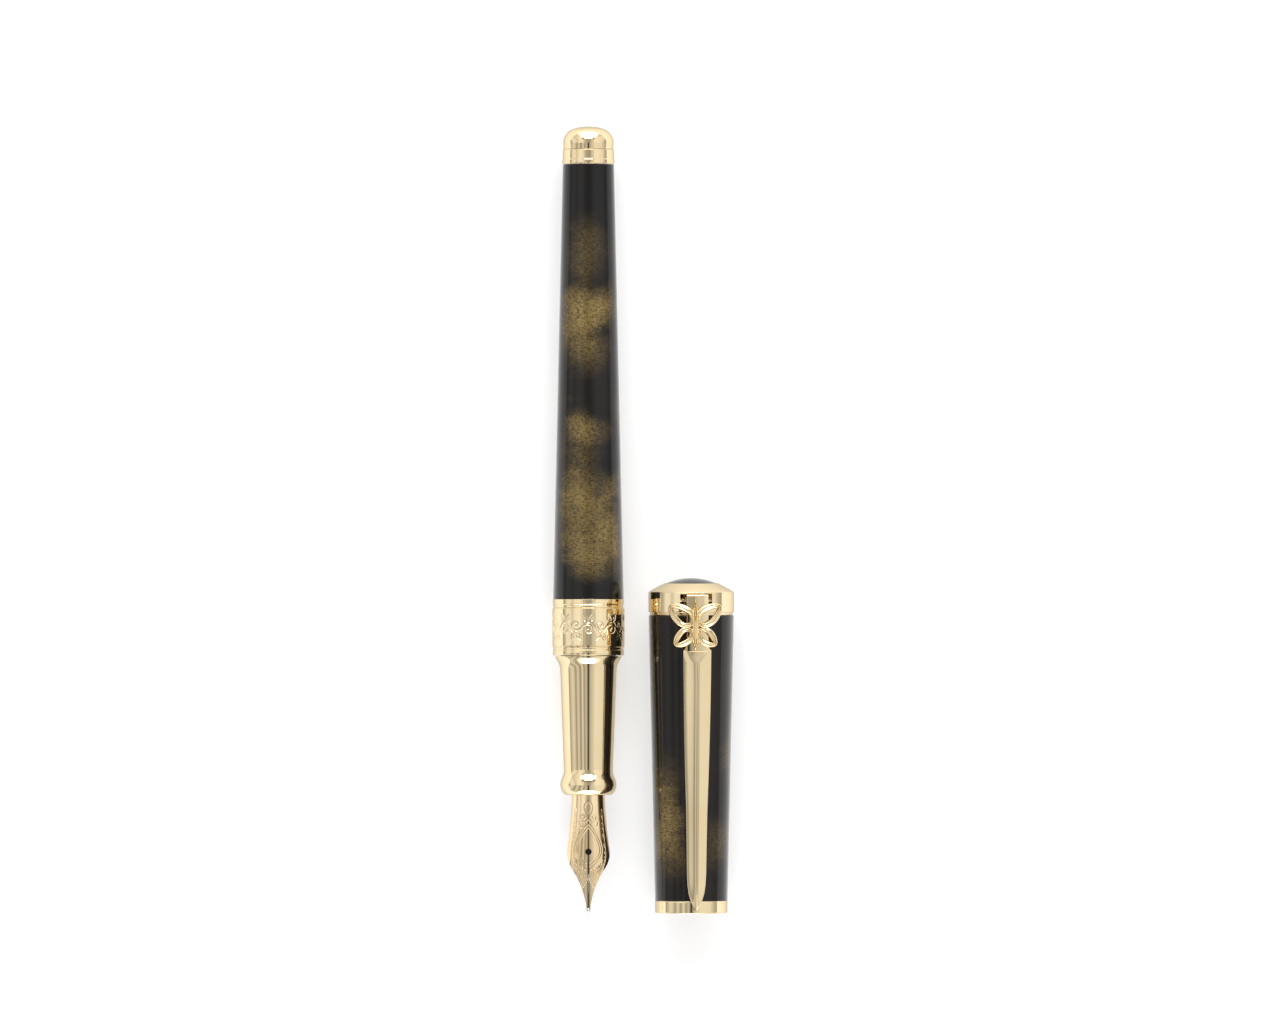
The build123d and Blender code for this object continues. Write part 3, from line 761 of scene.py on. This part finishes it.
# Place along the cap, half-width, ridge over the base, edge thickness, half-width of the flat top
BLADE_STATIONS = (
    (44.55, 1.82, 0.50, 0.34, 1.60),
    (44.10, 1.88, 0.52, 0.34, 1.60),
    (43.75, 2.06, 0.55, 0.34, 1.70),
    (43.50, 2.31, 0.60, 0.34, 1.80),
    (41.50, 2.30, 1.18, 0.34, 0.03),
    (38.0, 2.26, 1.19, 0.34, 0.03),
    (33.0, 2.19, 1.17, 0.33, 0.03),
    (28.8, 2.10, 1.14, 0.32, 0.03),
    (22.0, 1.92, 1.10, 0.31, 0.03),
    (16.6, 1.75, 1.05, 0.30, 0.03),
    (11.0, 1.66, 1.00, 0.30, 0.03),
    (6.6, 1.60, 0.95, 0.29, 0.03),
    (4.8, 1.50, 0.91, 0.27, 0.03),
    (3.4, 1.30, 0.84, 0.25, 0.03),
    (2.2, 0.95, 0.72, 0.22, 0.03),
    (1.2, 0.52, 0.56, 0.18, 0.02),
    (0.55, 0.14, 0.38, 0.14, 0.01),
)
# The slopes' hollow: share of the way from the edge to the flat top, and of the rise
HOLLOW = ((0.0, 0.0), (0.30, 0.255), (0.60, 0.515), (0.80, 0.70), (0.92, 0.845), (1.0, 1.0))


def make_blade():
    points = []
    for at, half, ridge, edge, flat_half in BLADE_STATIONS:
        base = BAR_HEIGHT + (BLADE_TOP - at) / BLADE_TOP * (TIP_HEIGHT - BAR_HEIGHT)
        slope = [(half + (flat_half - half) * t, base + edge + (ridge - edge) * rise) for t, rise in HOLLOW]
        points += [(-half, base, at), (half, base, at)]
        points += [(x, y, at) for x, y in slope]
        points += [(-x, y, at) for x, y in reversed(slope)]
    corners = 2 + 2 * len(HOLLOW)
    faces = [tuple(range(corners))]
    for row in range(len(BLADE_STATIONS) - 1):
        for corner in range(corners):
            a = row * corners + corner
            b = row * corners + (corner + 1) % corners
            faces.append((a, b, b + corners, a + corners))
    last = (len(BLADE_STATIONS) - 1) * corners
    faces.append(tuple(last + c for c in range(corners)))
    blade = new_piece("clip_blade", points, faces, ON_CLIP, "clip", GOLD, ["clip_arm"])
    bevel(blade, 0.05, sharp=15)


def make_bar():
    """The flat bar over the blade, with the tab that goes in through the head's window."""
    bar_side = rounded((7.0, 51.37), (7.90, 51.37, 0.15), (7.95, 43.3), (8.70, 43.3), (8.70, 52.74, 0.50),
                       (7.95, 52.74, 0.2), (7.95, 52.13), (7.0, 52.13), steps=8)
    points = [(side * BAR_HALF_WIDTH, y, z) for side in (1, -1) for y, z in bar_side]
    count = len(bar_side)
    faces = [tuple(range(count)), tuple(range(count, 2 * count))]
    faces += [(i, (i + 1) % count, count + (i + 1) % count, count + i) for i in range(count)]
    bar = new_piece("clip_bar", points, faces, ON_CLIP, "clip", GOLD)
    bevel(bar, 0.10)


def make_foot():
    """The rounded foot under the blade's tip."""
    outline = [(0, -FOOT_DROP)]
    for step in range(1, 10):
        turn = math.pi * step / 18
        outline.append((FOOT_R * math.sin(turn), -FOOT_DROP * math.cos(turn)))
    outline += [(FOOT_R, 0), (0, 0)]
    place = ON_CLIP @ Matrix.Translation((0, FOOT_HEIGHT, FOOT_AT)) @ Matrix.Rotation(-math.pi / 2, 4, "X")
    lathe("clip_foot", outline, place, "clip", GOLD, segments=48)


def bevel(piece, size, sharp=24):
    """Rounds a piece's sharp edges by a size in millimetres."""
    step = piece.modifiers.new("round", "BEVEL")
    step.width = size * MM
    step.segments = 3
    step.limit_method = "ANGLE"
    step.angle_limit = math.radians(26)
    apply_modifiers(piece)
    return soften(piece, sharp)


ORNAMENT_AT = 47.8
ORNAMENT_SHIFT = 0.45
ORNAMENT_BASE = 8.70


def strand(path, widths, base, height):
    """A strand along a path in the ornament's plane: rounded edges and a shallow middle channel."""
    path = np.array(path, float)
    closed = np.allclose(path[0], path[-1])
    if closed:
        path = path[:-1]
        ahead = np.roll(path, -1, 0) - np.roll(path, 1, 0)
    else:
        ahead = np.gradient(path, axis=0)
    count = len(path)
    ahead /= np.linalg.norm(ahead, axis=1)[:, None]
    aside = np.stack((-ahead[:, 1], ahead[:, 0]), 1)
    section = ((-1.0, 0.0), (-1.0, 0.55), (-0.93, 0.80), (-0.80, 0.95), (-0.64, 1.0), (-0.46, 0.93),
               (-0.22, 0.80), (0.0, 0.76), (0.22, 0.80), (0.46, 0.93), (0.64, 1.0), (0.80, 0.95),
               (0.93, 0.80), (1.0, 0.55), (1.0, 0.0))
    points = []
    for index in range(count):
        half = widths[index % len(widths)] / 2
        rise = height * min(1.0, 0.45 + half / 0.5)
        for out, up in section:
            u, v = path[index] + aside[index] * out * half
            points.append((u, base + up * rise, v))
    ring = len(section)
    faces = []
    spans = count if closed else count - 1
    for index in range(spans):
        after = (index + 1) % count
        for k in range(ring):
            n = (k + 1) % ring
            faces.append((index * ring + k, index * ring + n, after * ring + n, after * ring + k))
    if not closed:
        faces += [tuple(range(ring)), tuple((count - 1) * ring + k for k in range(ring))]
    return points, faces


def make_ornament():
    """An openwork knot: two pairs of leaf-shaped loops about a slender middle leaf."""
    parts = []
    loops = ((2.16, 1.22, 2.25, 1.60, 38), (1.66, 0.92, 1.95, -2.15, -42))
    for half_length, half_width, out, up, lean in loops:
        for side in (1, -1):
            turn = math.radians(side * lean)
            path = []
            widths = []
            for t in np.linspace(0, 2 * math.pi, 97):
                along = half_length * math.cos(t) * side
                pinch = 1 - 0.28 * math.cos(t)
                across = half_width * math.sin(t) * pinch
                u = side * out + along * math.cos(turn) - across * math.sin(turn)
                v = up + along * math.sin(turn) + across * math.cos(turn)
                path.append((u, v))
                widths.append(0.72 + 0.34 * math.sin(t) ** 2)
            parts.append(strand(path, widths, ORNAMENT_BASE, 0.92 + 0.02 * len(parts)))
    leaf = []
    widths = []
    for t in np.linspace(-1, 1, 61):
        leaf.append((0, 4.2 * t))
        widths.append(0.10 + 1.30 * (1 - t * t) ** 0.8 * (0.8 - 0.2 * t))
    parts.append(strand(leaf, widths, ORNAMENT_BASE, 1.08))
    points = []
    faces = []
    for part_points, part_faces in parts:
        start = len(points)
        points += [(-u + ORNAMENT_SHIFT, y, v + ORNAMENT_AT) for u, y, v in part_points]
        faces += [tuple(start + i for i in face) for face in part_faces]
    replaced = ["clip_ornament"]
    knot = new_piece("clip_ornament_looks", points, faces, ON_CLIP, "clip", GOLD, replaced)
    return soften(knot, 60)


make_grip_section()
make_nib()
make_tipping()
make_center_band()
make_barrel_shell()
make_tail()
make_cap_tube()
make_cap_head()
make_jewel()
make_blade()
make_bar()
make_foot()
make_ornament()

# ---------------------------------------------------------------- studio


def make_floor():
    look = Look("pale_floor")
    look.color(look.mix(look.noise(3.0), (0.58, 0.58, 0.58), (0.60, 0.60, 0.60)))
    look.roughness(0.9)
    # a light table: the floor glows a little from inside, so that shadows on it stay pale
    look.set(Emission_Color=(1.0, 1.0, 1.0, 1.0), Emission_Strength=0.45)
    half = 2.0
    corners = [(-half, -half, 0), (half, -half, 0), (half, half, 0), (-half, half, 0)]
    mesh = bpy.data.meshes.new("floor")
    mesh.from_pydata(corners, [], [(0, 1, 2, 3)])
    floor = bpy.data.objects.new("floor", mesh)
    floor.location.z = cad_low.z - 0.00005
    mesh.materials.append(look.material)
    bpy.context.scene.collection.objects.link(floor)


# Brightness of the tent round the table by how far right a direction leans, from -1 at the left
# to 1: white sides, a greyer top and dark hems at the table
TENT = (
    (-1.00, 0.45), (-0.985, 0.60), (-0.96, 0.97), (-0.86, 0.95), (-0.82, 0.74), (-0.76, 0.80),
    (-0.70, 1.00), (-0.50, 1.06), (-0.42, 0.98), (-0.38, 0.80), (-0.345, 0.95), (-0.32, 0.95),
    (-0.28, 0.48), (-0.20, 0.62), (-0.13, 0.45), (0.08, 0.42), (0.16, 0.42), (0.20, 0.62),
    (0.30, 0.75), (0.38, 0.72), (0.42, 1.02), (0.65, 1.05), (0.92, 0.92), (0.97, 0.60), (1.00, 0.45),
)
# The same on the nib's side of the top, where folds in the cloth make fine dark lines
FOLDS = (
    (-1.00, 0.45), (-0.985, 0.60), (-0.94, 0.85), (-0.87, 0.70), (-0.83, 0.45), (-0.78, 0.42),
    (-0.73, 0.72), (-0.66, 0.75), (-0.57, 0.38), (-0.52, 0.40), (-0.46, 0.70), (-0.38, 0.90),
    (-0.34, 0.42), (-0.24, 0.46), (-0.16, 0.70), (-0.07, 0.36), (-0.025, 0.03), (0.02, 0.03),
    (0.08, 0.42), (0.16, 0.62), (0.34, 0.76), (0.50, 0.95), (0.88, 0.90), (0.97, 0.60), (1.00, 0.45),
)
# The tent's two ends over the nib and the tail: bright strips along the pen's own line
ENDS = ((-1.00, 0.70), (-0.60, 0.80), (-0.38, 2.40), (0.38, 2.40), (0.60, 0.80), (1.00, 0.70))
# Where each of these holds, by how far towards the tail a direction leans: 1 where it does
NIB_SIDE = ((-1.0, 1.0), (-0.042, 1.0), (-0.030, 0.0), (1.0, 0.0))
END_SHARE = ((-1.0, 1.0), (-0.86, 1.0), (-0.76, 0.0), (0.60, 0.0), (0.72, 1.0), (1.0, 1.0))
# A darker fold over the tail's side, along and across
TAIL_FOLD = ((-1.0, 0.0), (0.36, 0.0), (0.43, 0.6), (0.58, 0.6), (0.64, 0.0), (1.0, 0.0))
TAIL_FOLD_REACH = ((-1.0, 0.0), (-0.5, 0.0), (-0.4, 1.0), (0.4, 1.0), (0.5, 0.0), (1.0, 0.0))


def make_sky():
    """A world whose brightness follows the direction: the tent's sides, folds and ends."""
    world = bpy.data.worlds.new("tent")
    world.use_nodes = True
    bpy.context.scene.world = world
    tree = world.node_tree
    place = tree.nodes.new("ShaderNodeTexCoord")
    parts = tree.nodes.new("ShaderNodeSeparateXYZ")
    tree.links.new(place.outputs["Generated"], parts.inputs[0])

    def curve(output, stops):
        lean = tree.nodes.new("ShaderNodeMapRange")
        lean.inputs["From Min"].default_value = -1.0
        tree.links.new(output, lean.inputs["Value"])
        ramp = tree.nodes.new("ShaderNodeValToRGB")
        marks = ramp.color_ramp.elements
        while len(marks) < len(stops):
            marks.new(0.5)
        for mark, (position, level) in zip(marks, stops):
            mark.position = (position + 1) / 2
            mark.color = (level, level, level, 1)
        tree.links.new(lean.outputs[0], ramp.inputs[0])
        return ramp.outputs[0]

    def blend(share, a, b):
        node = tree.nodes.new("ShaderNodeMix")
        node.data_type = "RGBA"
        tree.links.new(share, node.inputs["Factor"])
        tree.links.new(a, node.inputs["A"])
        tree.links.new(b, node.inputs["B"])
        return node.outputs["Result"]

    across = parts.outputs["X"]
    along = parts.outputs["Y"]
    nib_side = curve(along, NIB_SIDE)
    end_share = curve(along, END_SHARE)
    middle = blend(nib_side, curve(across, TENT), curve(across, FOLDS))
    whole = blend(end_share, middle, curve(across, ENDS))
    fold = curve(along, TAIL_FOLD)
    reach = curve(across, TAIL_FOLD_REACH)
    shade = tree.nodes.new("ShaderNodeMath")
    shade.operation = "MULTIPLY"
    tree.links.new(fold, shade.inputs[0])
    tree.links.new(reach, shade.inputs[1])
    grey = tree.nodes.new("ShaderNodeRGB")
    grey.outputs[0].default_value = (0.08, 0.08, 0.08, 1)
    whole = blend(shade.outputs[0], whole, grey.outputs[0])
    background = tree.nodes["Background"]
    tree.links.new(whole, background.inputs["Color"])
    background.inputs["Strength"].default_value = 1.0


def make_lamp(name, place, size, power):
    """A soft box aimed at the middle of the table."""
    light = bpy.data.lights.new(name, "AREA")
    light.shape = "RECTANGLE"
    light.size, light.size_y = size
    light.energy = power
    lamp = bpy.data.objects.new(name, light)
    lamp.location = place
    lamp.rotation_euler = (-Vector(place)).to_track_quat("-Z", "Y").to_euler()
    bpy.context.scene.collection.objects.link(lamp)


def make_camera():
    """Straight over the table, with a long lens."""
    camera = bpy.data.cameras.new("camera")
    distance = 3.0
    width = 0.210
    camera.sensor_width = 36.0
    camera.lens = camera.sensor_width * distance / width
    camera.clip_end = 20.0
    holder = bpy.data.objects.new("camera", camera)
    holder.location = (-0.00153, 0.00157, distance)
    bpy.context.scene.collection.objects.link(holder)
    bpy.context.scene.camera = holder


make_floor()
make_sky()
make_lamp("tail_softbox", (0, 1.3, 1.1), (1.0, 1.2), 12.0)
make_lamp("nib_softbox", (0, -1.6, 0.75), (1.2, 0.8), 10.0)
make_camera()
bpy.context.scene.view_settings.view_transform = "Standard"
